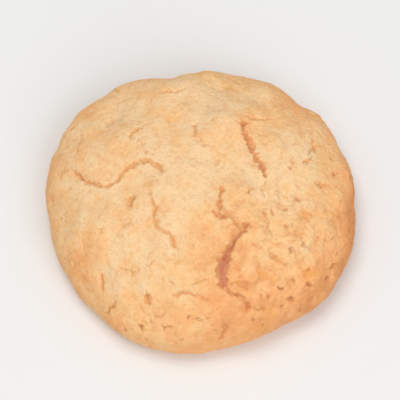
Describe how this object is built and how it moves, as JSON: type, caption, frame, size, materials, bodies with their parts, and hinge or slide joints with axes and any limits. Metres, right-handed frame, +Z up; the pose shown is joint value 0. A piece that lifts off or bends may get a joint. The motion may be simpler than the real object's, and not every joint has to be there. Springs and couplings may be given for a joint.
{
  "type": "amaretti cookie",
  "caption": "Soft almond biscuit: a low round dome on a flat base, its pale crust split by a wide fissure, fine cracks and pits.",
  "frame": {"origin": "middle of the flat underside, at the height that the cookie rests on", "axes": "+Z up through the crown, +X right and +Y away as the cookie is seen with its wide fissure towards the viewer"},
  "size_m": [0.0526, 0.0512, 0.0163],
  "materials": {
    "crust": "matte"
  },
  "bodies": {
    "root": {"cookie": "crust"}
  },
  "joints": []
}
